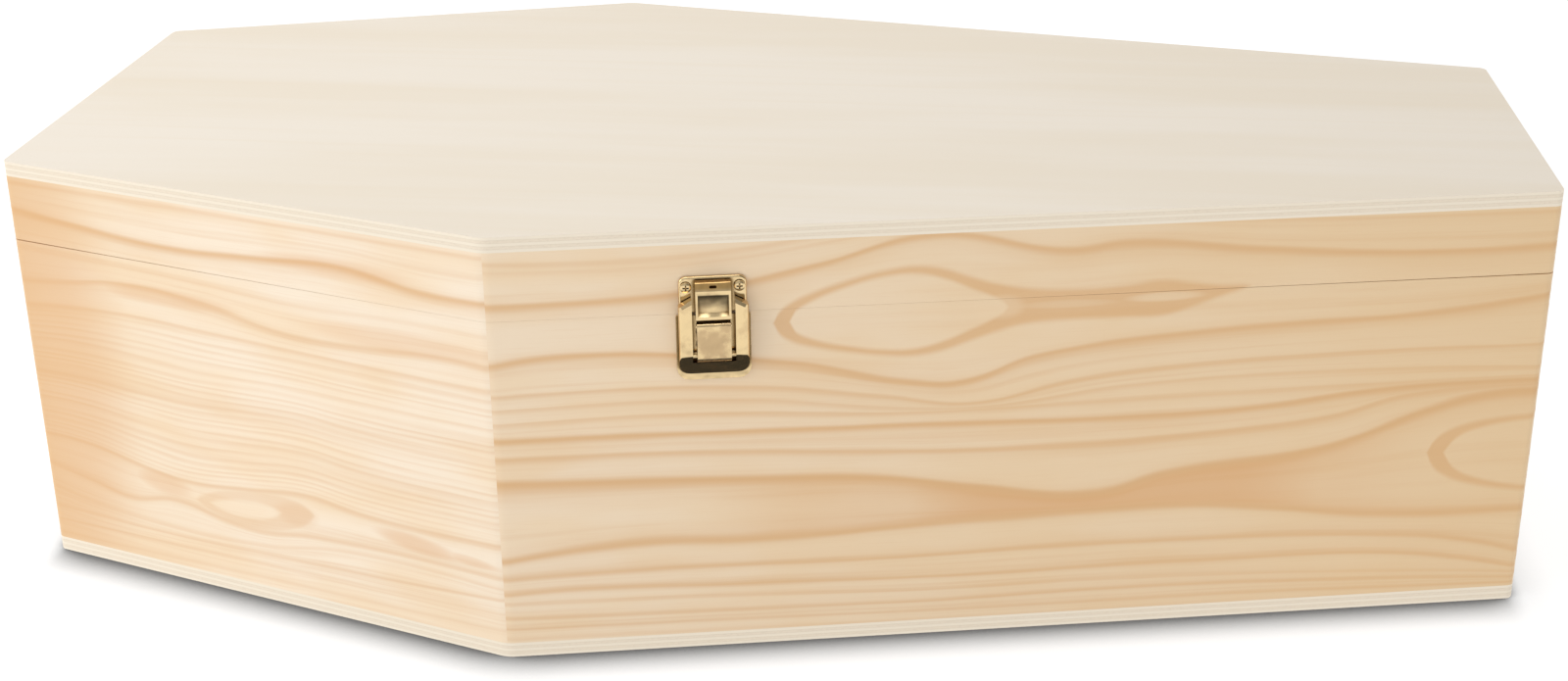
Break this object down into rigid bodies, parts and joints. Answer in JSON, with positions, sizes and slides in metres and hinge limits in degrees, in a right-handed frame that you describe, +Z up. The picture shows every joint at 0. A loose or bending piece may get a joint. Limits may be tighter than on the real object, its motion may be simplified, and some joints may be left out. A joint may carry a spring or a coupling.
{
  "type": "small coffin box",
  "caption": "Small coffin-shaped box with pine sides, a plywood top and bottom, a lift-off lid and a brass-plated snap latch that holds the lid down.",
  "frame": {"origin": "centre of the underside, on the surface that the box stands on", "axes": "+X from the head end to the foot end, +Z up, the latch on the -Y side"},
  "size_m": [0.5, 0.2594, 0.145],
  "materials": {
    "pine": "raw sanded pine, satin, with flowing brown grain",
    "plywood": "pale sanded plywood, matt, layered edge",
    "brass_plate": "bright brass plating, glossy"
  },
  "bodies": {
    "case": {"case_bottom": "plywood", "lid_top": "plywood", "case_side_near_head": "pine", "case_side_near_foot": "pine", "case_end_foot": "pine", "case_side_far_foot": "pine", "case_side_far_head": "pine", "case_end_head": "pine", "lid_side_near_head": "pine", "lid_side_near_foot": "pine", "lid_end_foot": "pine", "lid_side_far_foot": "pine", "lid_side_far_head": "pine", "lid_end_head": "pine", "latch_strike": "brass_plate", "latch_housing": "brass_plate", "latch_pin": "brass_plate", "latch_strike_screw_head": "brass_plate", "latch_strike_screw_foot": "brass_plate", "latch_housing_screw_upper": "brass_plate", "latch_housing_screw_lower": "brass_plate"},
    "latch_flap": {"latch_flap": "brass_plate"}
  },
  "joints": [
    {"name": "latch_flap_hinge", "type": "hinge", "parent": "case", "child": "latch_flap", "pos_m": [-0.00861, -0.11964, 0.1045], "axis": [0.9802, 0.1981, 0], "range_deg": [0, 100]}
  ]
}
